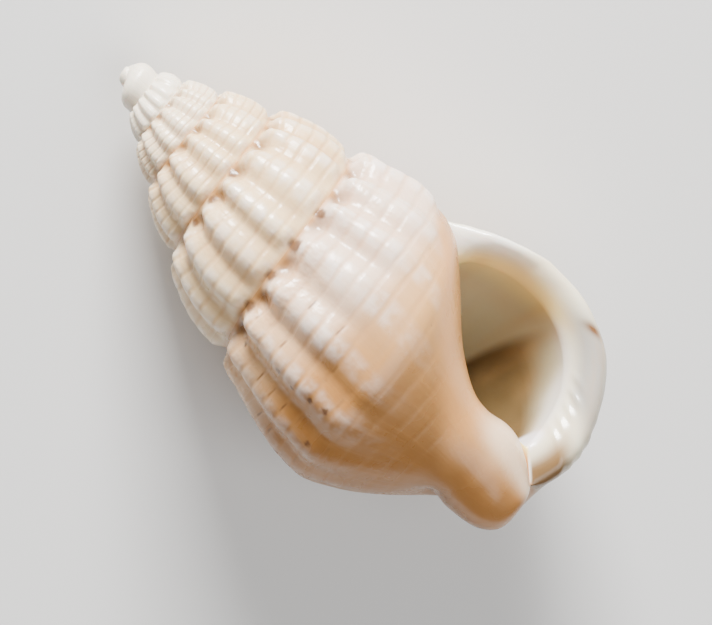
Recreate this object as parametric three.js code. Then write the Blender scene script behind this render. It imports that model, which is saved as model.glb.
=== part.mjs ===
// A poor dogwhelk shell, one closed body, in millimetres.
// Its form is worked out in the shell's own frame: seen facing the mouth, x is right, y is away and z is up.
// Places on it are given by the turn, counted back from the lip, and by v down the whorl.
// The shell is then laid on its back, as it lies, with +z up.
import * as THREE from "three";

// The outer sheet: v is 0 at the suture, 1 at the widest part and 2 at the end of the neck
const APEX_Z = 13.02;
const FIRST_TURN = -7;
const APEX_TURN = -6;
const LIP_AZIMUTH = 15;
const LEAN = 1 / 64;

// Swelling of a whorl between its sutures, as a share of its height: more on the first whorls, and held on below
// the widest part of the last whorl. Here and below, a pair of values says where a change starts and ends.
const SWELL = 0.105;
const YOUNG_SWELL = 0.16;
const YOUNG_TURNS = [-5.6, -4.4];
const LAST_REACH = 0.45;
const LAST_TURNS = [-1, -0.7];

// Mesh steps: the steps in a turn are a multiple of 64, so that the lean is a whole number of them
const STEPS_PER_TURN = 64;
const LEAN_STEPS = STEPS_PER_TURN * LEAN;
const UPPER_ROWS = 7;
const LOWER_ROWS = 12;
const RIM_ROWS = 5;
const THROAT_ROWS = 6;
const SLOPE_STEP = 0.004;

// Axial ribs: one for every four steps, shifted by part of a rib between the last whorl and the ones before
const RIBS_PER_TURN = 16;
const RIB_HEIGHT = 0.2;
const RIB_POWER = 0.8;
const RIB_START = [-5.4, -4.6];
const LAST_SHIFT = 0.5;
const SPIRE_SHIFT = 0.25;
const SHIFT_TURNS = [-1.45, -1.05];
const FULL_RIB_RADIUS = 2.9;

// Ribs rise from the suture and fade on the base from this v on, lower down on the side away from the mouth
const RIB_RISE = 0.13;
const RIB_FOOT = 0.62;
const SIDE_FOOT = 0.26;
const SIDE_TURNS = [-0.74, -0.6];
const FOOT_FADE = 0.5;

// They are nearly smoothed out on the back of the lip
const LIP_SMOOTHING = 0.7;
const LIP_TURNS = [-0.35, -0.03];

// Unevenness of the ribs' spacing and height: amounts, and two waves each, in radians to a turn
const RIB_WANDER = 0.09;
const WANDER_WAVES = [23.1, 41.7];
const WANDER_PHASE = 1.3;
const RIB_UNEVEN = 0.14;
const UNEVEN_WAVES = [67.3, 12.9];
const UNEVEN_PHASE = 0.7;

// Beside the suture the ribs end in raised heads, and the spaces between them in pits
const HEAD_RISE = 0.06;
const HEAD_V = 0.17;
const HEAD_SPREAD = 0.13;
const PIT_DEPTH = 0.13;
const PIT_V = 0.1;
const PIT_SPREAD = 0.07;
const PIT_RISE = 0.06;
const PIT_START = [-5, -4];

// The smooth callus beside the mouth: turn of its edge, and how far that swings away down the whorl
const CALLUS_TURN = -0.86;
const CALLUS_SWING = 0.45;
const CALLUS_SWING_TOP = 0.75;
const CALLUS_BLEND = 0.035;
const CALLUS_ROWS = [0.1, 0.45];

// Suture of the coiled whorls: turn, radius, height
const SUTURE = [
  [-6, 0, 13.02],
  [-5.75, 0.17, 12.93],
  [-5.458, 0.31, 12.7],
  [-4.958, 0.43, 12.43],
  [-4.458, 0.55, 12.18],
  [-3.958, 0.69, 11.9],
  [-3.458, 0.86, 11.57],
  [-2.958, 1.07, 11.16],
  [-2.458, 1.29, 10.68],
  [-1.958, 1.58, 10.07],
  [-1.458, 1.9, 9.27],
  [-0.958, 2.22, 8.22],
  [-0.708, 2.4, 7.62],
  [-0.458, 2.56, 6.95],
  [-0.2, 2.76, 6.33],
  [0, 2.96, 5.9],
];

// The same line run on round the last whorl, where the next whorl would have joined
const RUN_ON = [
  [0, 2.96, 5.9],
  [0.1, 2.86, 5.66],
  [0.292, 2.74, 5.2],
  [0.542, 2.97, 4.42],
  [0.75, 3.46, 3.85],
  [1, 3.97, 3.3],
];

// Lower half of the last whorl at places round it: turn, then radius and height from widest part to neck
const LOWER = [
  [
    -1,
    [2.66, 5.2], [1.98, 4.4], [1.16, 3.52], [0.78, 2.72], [0.86, 2.1],
    [1.08, 1.58], [1.06, 1.15], [0.84, 0.72], [0.5, 0.36],
  ],
  [
    -0.94,
    [2.72, 5.2], [2.06, 4.4], [1.22, 3.52], [0.84, 2.72], [0.9, 2.1],
    [1.09, 1.55], [1.06, 1.12], [0.84, 0.68], [0.5, 0.32],
  ],
  [
    -0.708,
    [2.98, 4.35], [2.6, 3.7], [2.12, 3.04], [1.72, 2.44], [1.44, 1.9],
    [1.27, 1.4], [1.13, 0.95], [0.88, 0.42], [0.52, 0.02],
  ],
  [
    -0.58,
    [3.12, 4.1], [2.86, 3.54], [2.43, 2.9], [1.93, 2.35], [1.46, 1.88],
    [1.2, 1.46], [1.12, 1.02], [0.93, 0.34], [0.55, -0.06],
  ],
  [
    -0.458,
    [3.24, 3.87], [3.03, 3.36], [2.66, 2.77], [2.04, 2.2], [1.42, 1.8],
    [1.1, 1.62], [1.12, 1.1], [0.97, 0.28], [0.57, -0.1],
  ],
  [
    -0.25,
    [3.66, 3.2], [3.36, 2.5], [2.9, 1.85], [2.35, 1.3], [1.88, 0.95],
    [1.62, 0.7], [1.42, 0.35], [1.12, 0.02], [0.64, -0.1],
  ],
  [
    0,
    [4.24, 2.4], [4.06, 1.7], [3.7, 1], [3.27, 0.5], [2.8, 0.16],
    [2.22, -0.13], [1.69, -0.21], [1.18, -0.16], [0.69, -0.04],
  ],
];

// The neck stands off the coiling axis: the middle of the profile drifts along these x and y values
const DRIFT = [
  [0, 0], [0, 0], [0, 0], [0, 0], [-0.1, 0], [-0.2, 0],
  [-0.28, 0.05], [-0.28, 0.1], [-0.25, 0.15], [-0.15, 0.18], [0.27, 0.22],
];
const NECK_END_Z = 0.16;

// Throat: depth in turns, outer wall from its top corner to the canal, then inner wall back up to the corner
const THROAT = [
  {
    depth: 0.02,
    outer: [
      [2.58, 4.9], [3.02, 4.56], [3.4, 3.86], [3.5, 3.02], [3.34, 2.24],
      [2.92, 1.6], [2.26, 1.14], [1.5, 0.92], [0.84, 0.84],
    ],
    inner: [
      [0.84, 0.84], [0.78, 1.35], [0.7, 2.1], [0.78, 2.75], [1.22, 3.55],
      [1.96, 4.36], [2.58, 4.9],
    ],
  },
  {
    depth: 0.2,
    outer: [
      [2.5, 5.3], [2.95, 4.9], [3.3, 4.1], [3.35, 3.4], [3.15, 2.7],
      [2.65, 2], [2, 1.5], [1.4, 1.25], [0.9, 1.2],
    ],
    inner: [
      [0.9, 1.2], [0.72, 1.7], [0.7, 2.4], [0.85, 3.2], [1.35, 4.1],
      [1.95, 4.8], [2.5, 5.3],
    ],
  },
  {
    depth: 0.42,
    outer: [
      [2.15, 5.9], [2.6, 5.7], [2.92, 5], [2.95, 4.3], [2.75, 3.6],
      [2.3, 2.9], [1.75, 2.4], [1.2, 2.15], [0.85, 2.3],
    ],
    inner: [
      [0.85, 2.3], [0.72, 2.8], [0.72, 3.4], [0.85, 4.1], [1.2, 4.9],
      [1.65, 5.5], [2.15, 5.9],
    ],
  },
  {
    depth: 0.6,
    outer: [
      [1.8, 5.3], [2.05, 5.2], [2.2, 4.9], [2.22, 4.6], [2.15, 4.3],
      [2, 4.1], [1.8, 3.95], [1.55, 3.95], [1.35, 4.1],
    ],
    inner: [
      [1.35, 4.1], [1.25, 4.3], [1.22, 4.5], [1.25, 4.75], [1.35, 5],
      [1.55, 5.2], [1.8, 5.3],
    ],
  },
];

// Rounding of the lip from the sheet's edge into the throat: how far each side carries on, and its entry
const RIM_CARRY = 3;
const INNER_CARRY = 0.8;
const RIM_ENTRY = 0.075;
const INNER_ENTRY = 0.5;
const RIM_FULLNESS = 2.5;

// Lying pose, degrees: tipped about x onto its back, then leaned about y; its lowest spots are worn flat
const REST_PITCH = -106.5;
const REST_LEAN = 4.1;
const WORN_FLAT = 0.08;

const radians = (degrees) => (degrees * Math.PI) / 180;
const clamp = (value, low, high) => Math.min(Math.max(value, low), high);

function smooth(low, high, value) {
  const s = clamp((value - low) / (high - low), 0, 1);
  return s * s * (3 - 2 * s);
}

// A smooth curve through the values at the knots, its slopes taken from the neighbours
function curve(knots, values, at) {
  const last = knots.length - 1;
  const x = clamp(at, knots[0], knots[last]);
  let i = 0;
  while (i < last - 1 && x >= knots[i + 1]) {
    i += 1;
  }
  const width = knots[i + 1] - knots[i];
  const s = (x - knots[i]) / width;
  return values[0].map((_, c) => {
    const rise = (k) => (values[k + 1][c] - values[k][c]) / (knots[k + 1] - knots[k]);
    const slope = (k) => {
      if (k === 0) return rise(0);
      if (k === last) return rise(last - 1);
      const before = knots[k] - knots[k - 1];
      const after = knots[k + 1] - knots[k];
      return (rise(k - 1) * after + rise(k) * before) / (before + after);
    };
    const a = values[i][c];
    const b = values[i + 1][c];
    const bend = (1 - s) * (1 - s) * s * width * slope(i) - s * s * (1 - s) * width * slope(i + 1);
    return a + (b - a) * s * s * (3 - 2 * s) + bend;
  });
}

const tableCurve = (table, at) => curve(table.map((row) => row[0]), table.map((row) => row.slice(1)), at);
const evenCurve = (values, share) => curve(values.map((_, i) => i / (values.length - 1)), values, share);

function atAzimuth(radius, azimuth, z) {
  return new THREE.Vector3(radius * Math.cos(azimuth), radius * Math.sin(azimuth), z);
}

// Radius and height of the suture
function suture(turn) {
  return turn <= 0 ? tableCurve(SUTURE, turn) : tableCurve(RUN_ON, turn);
}

// Radius and height from suture to suture; on the last whorl the swelling no longer draws in again
function coiled(turn, v) {
  const [r0, z0] = suture(turn);
  const [r1, z1] = suture(turn + 1);
  const young = 1 - smooth(...YOUNG_TURNS, turn);
  const reach = 1 - LAST_REACH * smooth(...LAST_TURNS, turn);
  const bulge = (SWELL + YOUNG_SWELL * young) * Math.sin(Math.PI * v * reach);
  return [r0 + (r1 - r0) * v + bulge * (z0 - z1), z0 + (z1 - z0) * v + bulge * (r1 - r0)];
}

// A point of the outer sheet before relief
function sheet(turn, v) {
  const azimuth = radians(LIP_AZIMUTH - 360 * turn);
  const top = coiled(turn, Math.min(v, 1));
  if (v <= 1) return atAzimuth(top[0], azimuth, top[1]);
  const station = tableCurve(LOWER.map((row) => row.flat()), turn);
  const profile = [top];
  for (let i = 0; i < station.length; i += 2) {
    profile.push([station[i], station[i + 1]]);
  }
  profile.push([0, NECK_END_Z]);
  const [r, z, x, y] = evenCurve(profile.map((point, i) => [...point, ...DRIFT[i]]), v - 1);
  return atAzimuth(r, azimuth, z).add(new THREE.Vector3(x, y, 0));
}

function outward(turn, v) {
  const across = sheet(turn, Math.min(v + SLOPE_STEP, 2)).sub(sheet(turn, Math.max(v - SLOPE_STEP, 0)));
  const along = sheet(turn + SLOPE_STEP, v).sub(sheet(turn - SLOPE_STEP, v));
  return along.cross(across).normalize();
}

// Rib number at the suture, whole on the crests; the spacing wanders a little
function ribNumber(start) {
  const shift = SPIRE_SHIFT + (LAST_SHIFT - SPIRE_SHIFT) * smooth(...SHIFT_TURNS, start);
  const wander = Math.sin(WANDER_WAVES[0] * start) + Math.sin(WANDER_WAVES[1] * start + WANDER_PHASE);
  return RIBS_PER_TURN * start + shift + (RIB_WANDER / 2) * wander;
}

function callused(turn, v) {
  if (turn < -1) return 0;
  const edge = CALLUS_TURN + CALLUS_SWING * (Math.max(v, CALLUS_SWING_TOP) - 1);
  return (1 - smooth(edge - CALLUS_BLEND, edge + CALLUS_BLEND, turn)) * smooth(...CALLUS_ROWS, v);
}

// Height of the relief: ribs start at the suture, grow with the whorl, and fade on base, callus and lip
function relief(start, turn, v) {
  const crest = 0.5 + 0.5 * Math.cos(2 * Math.PI * ribNumber(start));
  const size = Math.min(1, suture(Math.min(turn + 1, 0))[0] / FULL_RIB_RADIUS);
  const fade = RIB_FOOT + SIDE_FOOT * smooth(...SIDE_TURNS, turn);
  const foot = start < -1 + LEAN ? smooth(0, RIB_RISE, 1 - v) : 1 - smooth(fade, fade + FOOT_FADE, v);
  const lip = 1 - LIP_SMOOTHING * smooth(...LIP_TURNS, turn);
  const waves = Math.sin(UNEVEN_WAVES[0] * start) * Math.sin(UNEVEN_WAVES[1] * start + UNEVEN_PHASE);
  const clear = size * lip * (1 - callused(turn, v));
  const uneven = 1 + RIB_UNEVEN * waves;
  const ribbed = clear * smooth(...RIB_START, turn) * smooth(0, RIB_RISE, v) * foot * uneven;
  const head = HEAD_RISE * ribbed * Math.exp(-(((v - HEAD_V) / HEAD_SPREAD) ** 2));
  const sunk = smooth(0, PIT_RISE, v) * Math.exp(-(((v - PIT_V) / PIT_SPREAD) ** 2));
  const pit = PIT_DEPTH * clear * smooth(...PIT_START, turn) * sunk;
  return RIB_HEIGHT * ribbed * crest ** RIB_POWER + head * crest - pit * (1 - crest);
}

// A point of the carved sheet, on the line that leaves the suture at the start turn and leans back below
function carved(start, v) {
  const turn = start - LEAN * Math.min(v, 1);
  const height = relief(start, turn, v);
  const point = sheet(turn, v);
  return height !== 0 ? point.addScaledVector(outward(turn, v), height) : point;
}

function makeShell() {
  const points = [];
  const faces = [];
  const add = (point) => points.push(point) - 1;
  const face = (a, b, c) => {
    if (a !== b && b !== c && a !== c) faces.push([a, b, c]);
  };
  const quad = (a, b, c, d) => {
    face(a, b, c);
    face(a, c, d);
  };
  const band = (ring, next) => {
    ring.forEach((_, i) => {
      const j = (i + 1) % ring.length;
      quad(ring[j], ring[i], next[i], next[j]);
    });
  };

  // The spiral sheet: each line starts on the lower edge of the whorl before
  const lastLine = -FIRST_TURN * STEPS_PER_TURN;
  const innerLine = lastLine - STEPS_PER_TURN + LEAN_STEPS;
  const wholeRows = UPPER_ROWS + LOWER_ROWS;
  const apex = add(new THREE.Vector3(0, 0, APEX_Z));
  const neckEnd = add(new THREE.Vector3(...DRIFT.at(-1), NECK_END_Z));
  const lines = [];
  for (let i = 0; i <= lastLine; i += 1) {
    const start = FIRST_TURN + i / STEPS_PER_TURN;
    const rows = i < innerLine ? UPPER_ROWS : wholeRows;
    const line = [];
    for (let row = 0; row <= rows; row += 1) {
      const v = row <= UPPER_ROWS ? row / UPPER_ROWS : 1 + (row - UPPER_ROWS) / LOWER_ROWS;
      const joined = i - STEPS_PER_TURN + LEAN_STEPS;
      if (start - LEAN * v + 1 <= APEX_TURN || (row === 0 && start <= APEX_TURN)) {
        line.push(apex);
      } else if (row === 0) {
        line.push(lines[joined][UPPER_ROWS]);
      } else if (row === wholeRows) {
        line.push(neckEnd);
      } else {
        line.push(add(carved(start, v)));
      }
    }
    lines.push(line);
  }
  for (let i = 0; i < lastLine; i += 1) {
    for (let row = 0; row + 1 < lines[i].length; row += 1) {
      quad(lines[i][row], lines[i + 1][row], lines[i + 1][row + 1], lines[i][row + 1]);
    }
  }

  // The sheet's edge: down the lip from the suture to the canal, then up the inner lip to the suture again
  const edge = [...lines[lastLine].slice(0, wholeRows), ...lines[innerLine].slice(UPPER_ROWS + 1).reverse()];
  const sections = THROAT.map(({ depth, outer, inner }) => {
    const wall = edge.map((_, i) =>
      i < wholeRows ? evenCurve(outer, i / wholeRows) : evenCurve(inner, (i - wholeRows) / LOWER_ROWS),
    );
    return [depth, ...wall.flat()];
  });
  const throatPoint = (depth, i) => {
    const section = tableCurve(sections, depth);
    return atAzimuth(section[2 * i], radians(LIP_AZIMUTH + 360 * depth), section[2 * i + 1]);
  };

  // The lip is rounded over from the edge into the throat
  const entry = THROAT[0].depth;
  const rim = edge.map((index, i) => {
    const onLip = i < wholeRows;
    const share = onLip ? i / wholeRows : (i - wholeRows) / LOWER_ROWS;
    const body = Math.min(1, Math.sin(Math.PI * share) * RIM_FULLNESS);
    const azimuth = radians(LIP_AZIMUTH + (onLip ? 360 * LEAN * Math.min(share * 2, 1) : 0));
    const carry = onLip ? RIM_CARRY : -INNER_CARRY;
    const from = points[index];
    const to = throatPoint(entry, i);
    const leave = new THREE.Vector3(Math.sin(azimuth), -Math.cos(azimuth), 0).multiplyScalar(carry * body);
    const arrive = throatPoint(entry + RIM_ENTRY, i).sub(to).multiplyScalar(onLip ? 1 : INNER_ENTRY);
    return { from, to, leave, arrive };
  });
  let ring = edge;
  for (let row = 1; row <= RIM_ROWS; row += 1) {
    const s = row / RIM_ROWS;
    const next = rim.map(({ from, to, leave, arrive }) => {
      const point = from.clone().lerp(to, s * s * (3 - 2 * s));
      point.addScaledVector(leave, s * (1 - s) * (1 - s));
      return add(point.addScaledVector(arrive, -s * s * (1 - s)));
    });
    band(ring, next);
    ring = next;
  }

  // The throat winds back round the axis and closes inside the shell
  const deepest = THROAT.at(-1).depth;
  for (let row = 1; row <= THROAT_ROWS; row += 1) {
    const next = edge.map((_, i) => add(throatPoint(entry + ((deepest - entry) * row) / THROAT_ROWS, i)));
    band(ring, next);
    ring = next;
  }
  const end = new THREE.Vector3();
  ring.forEach((index) => end.addScaledVector(points[index], 1 / ring.length));
  const endIndex = add(end);
  ring.forEach((_, i) => face(ring[(i + 1) % ring.length], ring[i], endIndex));
  return { points, faces };
}

// Lays the shell on its back, flattens the spots that it lies on and centres it over the origin
function layDown(points) {
  const turned = new THREE.Matrix4().makeRotationY(radians(REST_LEAN));
  turned.multiply(new THREE.Matrix4().makeRotationX(radians(REST_PITCH)));
  points.forEach((point) => point.applyMatrix4(turned));
  const floor = Math.min(...points.map((point) => point.z)) + WORN_FLAT;
  points.forEach((point) => {
    point.z = Math.max(point.z, floor);
  });
  const middle = new THREE.Box3().setFromPoints(points).getCenter(new THREE.Vector3());
  points.forEach((point) => point.sub(new THREE.Vector3(middle.x, middle.y, floor)));
}

const { points, faces } = makeShell();
layDown(points);
const geometry = new THREE.BufferGeometry();
const places = points.flatMap((point) => point.toArray());
geometry.setAttribute("position", new THREE.Float32BufferAttribute(places, 3));
geometry.setIndex(faces.flat());
geometry.computeVertexNormals();

const shell = new THREE.Mesh(
  geometry,
  new THREE.MeshStandardMaterial({ color: 0xe6cbb0, roughness: 0.35, metalness: 0 }),
);
shell.name = "shell";

const part = new THREE.Group();
part.add(shell);
export default part;
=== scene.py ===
import math

import bpy
import numpy as np
from mathutils import Matrix, Vector


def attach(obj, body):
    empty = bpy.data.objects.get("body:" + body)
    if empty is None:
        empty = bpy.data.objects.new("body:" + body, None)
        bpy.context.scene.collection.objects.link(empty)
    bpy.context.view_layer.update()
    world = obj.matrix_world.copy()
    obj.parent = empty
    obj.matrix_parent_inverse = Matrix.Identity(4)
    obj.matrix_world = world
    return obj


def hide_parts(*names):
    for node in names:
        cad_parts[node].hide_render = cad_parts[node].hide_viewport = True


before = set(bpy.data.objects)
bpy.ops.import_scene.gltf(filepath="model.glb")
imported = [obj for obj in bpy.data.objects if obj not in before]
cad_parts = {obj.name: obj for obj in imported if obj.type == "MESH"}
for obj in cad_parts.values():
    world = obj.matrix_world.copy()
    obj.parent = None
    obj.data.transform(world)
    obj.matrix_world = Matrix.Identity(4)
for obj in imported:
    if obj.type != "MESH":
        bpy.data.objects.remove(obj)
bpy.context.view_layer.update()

# The shell's form is worked out in its own frame, in millimetres: seen facing the mouth, x is right, y is
# away and z is up to the apex. It is then laid on its back over the CAD shell and scaled to metres.
# Places on it are given by the turn, counted back from the lip, and by v down the whorl: 0 at the suture,
# 1 at the widest part and 2 at the end of the neck. A pair of values says where a change starts and ends.
MM = 0.001

# The outer sheet
APEX_Z = 13.02
FIRST_TURN = -7
APEX_TURN = -6
LIP_AZIMUTH = 15
LEAN = 1 / 64

# Mesh steps: the steps in a turn are a multiple of 64, so that the lean is a whole number of them,
# and the rows fall on the spiral grooves
STEPS_PER_TURN = 256
LEAN_STEPS = round(STEPS_PER_TURN * LEAN)
UPPER_ROWS = 30
LOWER_ROWS = 75
RIM_ROWS = 16
THROAT_ROWS = 36
SLOPE_STEP = 0.002
THROAT_CROWDING = 1.4

# Swelling of a whorl between its sutures, as a share of its height: more on the first whorls, and held on
# below the widest part of the last whorl
SWELL = 0.105
YOUNG_SWELL = 0.16
YOUNG_TURNS = (-5.6, -4.4)
LAST_REACH = 0.45
LAST_TURNS = (-1, -0.7)

# Axial ribs
RIBS_PER_TURN = 16
RIB_HEIGHT = 0.2
RIB_POWER = 0.8
RIB_START = (-5.4, -4.6)
LAST_SHIFT = 0.5
SPIRE_SHIFT = 0.25
SHIFT_TURNS = (-1.45, -1.05)
FULL_RIB_RADIUS = 2.9

# Ribs rise from the suture and fade on the base from this v on, lower down on the side away from the mouth
RIB_RISE = 0.13
RIB_FOOT = 0.62
SIDE_FOOT = 0.26
SIDE_TURNS = (-0.74, -0.6)
FOOT_FADE = 0.5

# They are nearly smoothed out on the back of the lip
LIP_SMOOTHING = 0.7
LIP_TURNS = (-0.35, -0.03)

# Unevenness of the ribs' spacing and height: amounts, and two waves each, in radians to a turn
RIB_WANDER = 0.09
WANDER_WAVES = (23.1, 41.7)
WANDER_PHASE = 1.3
RIB_UNEVEN = 0.14
UNEVEN_WAVES = (67.3, 12.9)
UNEVEN_PHASE = 0.7

# Spiral cords, parted by narrow grooves: so many from suture to suture, and so many on the base
UPPER_CORDS = 6
LOWER_CORDS = 15
GROOVE_DEPTH = 0.006
BEAD_DEPTH = 0.012
CORD_START = (-4.9, -4.0)
CORD_END = 0.08
CORD_THINNING = 0.6
CORD_THINNING_ROWS = (0.9, 1.2)
CORD_FADE_ROWS = (1.35, 1.5)

# Beside the suture the ribs end in raised heads and the spaces between them in pits
HEAD_RISE = 0.06
HEAD_V = 0.17
HEAD_SPREAD = 0.13
PIT_DEPTH = 0.13
PIT_V = 0.1
PIT_SPREAD = 0.07
PIT_RISE = 0.06
PIT_START = (-5, -4)

# The smooth callus beside the mouth: turn of its edge, and how far that swings away down the whorl
CALLUS_TURN = -0.86
CALLUS_SWING = 0.45
CALLUS_SWING_TOP = 0.75
CALLUS_BLEND = 0.035
CALLUS_ROWS = (0.1, 0.45)

# Rounding of the lip from the sheet's edge into the throat: how far each side carries on, and its entry
RIM_CARRY = 3.0
INNER_CARRY = 0.8
RIM_ENTRY = 0.075
INNER_ENTRY = 0.5
RIM_FULLNESS = 2.5

# Teeth inside the outer lip and scallops on its edge: share of the lip where they start and end, their number
# and height, and how far into the mouth they lie and reach, with the sheet's edge at 0 and the throat at 1
TEETH_FROM = 0.662
TEETH_TO = 0.87
TEETH_BLEND_IN = 0.04
TEETH_BLEND_OUT = 0.03
TEETH = 4
TOOTH_HEIGHT = 0.07
TOOTH_POWER = 1.5
TOOTH_DEPTH = 0.66
TOOTH_REACH = 0.11
SCALLOP_HEIGHT = 0.03
SCALLOP_DEPTH = 0.1
SCALLOP_REACH = 0.14

# Lying pose, degrees: tipped about x onto its back, then leaned about y; its lowest spots are worn flat
REST_PITCH = -106.5
REST_LEAN = 4.1
WORN_FLAT = 0.08

# Suture of the coiled whorls: turn, radius, height
SUTURE = np.array([
    [-6.0, 0.0, 13.02],
    [-5.75, 0.17, 12.93],
    [-5.458, 0.31, 12.7],
    [-4.958, 0.43, 12.43],
    [-4.458, 0.55, 12.18],
    [-3.958, 0.69, 11.9],
    [-3.458, 0.86, 11.57],
    [-2.958, 1.07, 11.16],
    [-2.458, 1.29, 10.68],
    [-1.958, 1.58, 10.07],
    [-1.458, 1.9, 9.27],
    [-0.958, 2.22, 8.22],
    [-0.708, 2.4, 7.62],
    [-0.458, 2.56, 6.95],
    [-0.2, 2.76, 6.33],
    [0.0, 2.96, 5.9],
])

# The same line run on round the last whorl, where the next whorl would have joined
RUN_ON = np.array([
    [0.0, 2.96, 5.9],
    [0.1, 2.86, 5.66],
    [0.292, 2.74, 5.2],
    [0.542, 2.97, 4.42],
    [0.75, 3.46, 3.85],
    [1.0, 3.97, 3.3],
])

# Lower half of the last whorl at turns round it: radius and height from the widest part to the neck
LOWER_TURNS = np.array([-1.0, -0.94, -0.708, -0.58, -0.458, -0.25, 0.0])
LOWER = np.array([
    [
        [2.66, 5.2], [1.98, 4.4], [1.16, 3.52], [0.78, 2.72], [0.86, 2.1],
        [1.08, 1.58], [1.06, 1.15], [0.84, 0.72], [0.5, 0.36],
    ],
    [
        [2.72, 5.2], [2.06, 4.4], [1.22, 3.52], [0.84, 2.72], [0.9, 2.1],
        [1.09, 1.55], [1.06, 1.12], [0.84, 0.68], [0.5, 0.32],
    ],
    [
        [2.98, 4.35], [2.6, 3.7], [2.12, 3.04], [1.72, 2.44], [1.44, 1.9],
        [1.27, 1.4], [1.13, 0.95], [0.88, 0.42], [0.52, 0.02],
    ],
    [
        [3.12, 4.1], [2.86, 3.54], [2.43, 2.9], [1.93, 2.35], [1.46, 1.88],
        [1.2, 1.46], [1.12, 1.02], [0.93, 0.34], [0.55, -0.06],
    ],
    [
        [3.24, 3.87], [3.03, 3.36], [2.66, 2.77], [2.04, 2.2], [1.42, 1.8],
        [1.1, 1.62], [1.12, 1.1], [0.97, 0.28], [0.57, -0.1],
    ],
    [
        [3.66, 3.2], [3.36, 2.5], [2.9, 1.85], [2.35, 1.3], [1.88, 0.95],
        [1.62, 0.7], [1.42, 0.35], [1.12, 0.02], [0.64, -0.1],
    ],
    [
        [4.24, 2.4], [4.06, 1.7], [3.7, 1.0], [3.27, 0.5], [2.8, 0.16],
        [2.22, -0.13], [1.69, -0.21], [1.18, -0.16], [0.69, -0.04],
    ],
])

# The neck stands off the coiling axis: the middle of the profile drifts along these x and y values
DRIFT = np.array([
    [0, 0], [0, 0], [0, 0], [0, 0], [-0.1, 0], [-0.2, 0],
    [-0.28, 0.05], [-0.28, 0.1], [-0.25, 0.15], [-0.15, 0.18], [0.27, 0.22],
])
NECK_END_Z = 0.16

# Lengths below this count as none
LEAST_LENGTH = 1e-12

# What is kept for each point of the surface, for colour and fine relief: the rib's and cord's number there,
# how much it is ribbed and corded, its turn and v, how far it lies inside the mouth, and its share of the
# mouth's edge, which counts below 0 on the inner lip
MARKS = ("rib", "cord", "ribbed", "corded", "turn", "down", "inward", "share")

# Throat at depths in turns: the outer wall from its top corner to the canal, then the inner wall back up
THROAT_DEPTHS = np.array([0.02, 0.2, 0.42, 0.6])
THROAT_OUTER = np.array([
    [
        [2.58, 4.9], [3.02, 4.56], [3.4, 3.86], [3.5, 3.02], [3.34, 2.24],
        [2.92, 1.6], [2.26, 1.14], [1.5, 0.92], [0.84, 0.84],
    ],
    [
        [2.5, 5.3], [2.95, 4.9], [3.3, 4.1], [3.35, 3.4], [3.15, 2.7],
        [2.65, 2.0], [2.0, 1.5], [1.4, 1.25], [0.9, 1.2],
    ],
    [
        [2.15, 5.9], [2.6, 5.7], [2.92, 5.0], [2.95, 4.3], [2.75, 3.6],
        [2.3, 2.9], [1.75, 2.4], [1.2, 2.15], [0.85, 2.3],
    ],
    [
        [1.8, 5.3], [2.05, 5.2], [2.2, 4.9], [2.22, 4.6], [2.15, 4.3],
        [2.0, 4.1], [1.8, 3.95], [1.55, 3.95], [1.35, 4.1],
    ],
])
THROAT_INNER = np.array([
    [[0.84, 0.84], [0.78, 1.35], [0.7, 2.1], [0.78, 2.75], [1.22, 3.55], [1.96, 4.36], [2.58, 4.9]],
    [[0.9, 1.2], [0.72, 1.7], [0.7, 2.4], [0.85, 3.2], [1.35, 4.1], [1.95, 4.8], [2.5, 5.3]],
    [[0.85, 2.3], [0.72, 2.8], [0.72, 3.4], [0.85, 4.1], [1.2, 4.9], [1.65, 5.5], [2.15, 5.9]],
    [[1.35, 4.1], [1.25, 4.3], [1.22, 4.5], [1.25, 4.75], [1.35, 5.0], [1.55, 5.2], [1.8, 5.3]],
])

# Brown stains: turn at the suture, v, and radius in mm
STAINS = [
    (-1.72, 0.05, 0.13), (-1.657, 0.05, 0.14), (-1.6, 0.05, 0.12),
    (-0.772, 0.04, 0.16), (-0.713, 0.04, 0.2), (-0.66, 0.03, 0.18), (-0.604, 0.03, 0.17),
    (-0.568, 0.06, 0.1),
    (-0.555, 0.19, 0.07), (-0.576, 0.35, 0.07), (-0.584, 0.62, 0.08), (-0.582, 0.81, 0.07),
    (-0.588, 1.0, 0.1), (-0.594, 1.05, 0.11), (-0.541, 1.07, 0.1),
    (-0.822, 0.99, 0.05), (-0.752, 1.13, 0.05),
    (-0.3, 0.02, 0.09), (-0.36, 0.03, 0.08), (-1.24, 0.03, 0.08), (-1.37, 0.02, 0.07),
    (-0.2, 0.55, 0.06),
]
LIP_STAIN_SHARE = 0.47
LIP_STAIN_WIDTH = 0.019
LIP_STAIN_INWARD = 0.4
LIP_STAIN_REACH = 0.15
LIP_STAIN_STRENGTH = 1.1

# Colours
APEX_WHITE = (0.82, 0.74, 0.60)
SPIRE_CREAM = (0.79, 0.59, 0.34)
PINKISH_WHITE = (0.80, 0.62, 0.50)
PEACH = (0.68, 0.38, 0.15)
ORANGE_TAN = (0.36, 0.155, 0.038)
CALLUS = (0.61, 0.285, 0.09)
NECK_WHITE = (0.72, 0.51, 0.33)
IVORY = (0.74, 0.68, 0.51)
# Partly its own yellow, partly painted light under the lip's top
MOUTH_YELLOW_AND_PAINTED_LIGHT = (0.93, 0.72, 0.28)
MOUTH_WHITE = (0.74, 0.69, 0.60)
# Painted light on the lip's top and painted shade on its right, both on the same ivory
LIP_PAINTED_LIGHT = (0.88, 0.86, 0.79)
LIP_PAINTED_SHADE = (0.34, 0.32, 0.28)
RIDGE_WHITE = (0.88, 0.84, 0.84)
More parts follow.
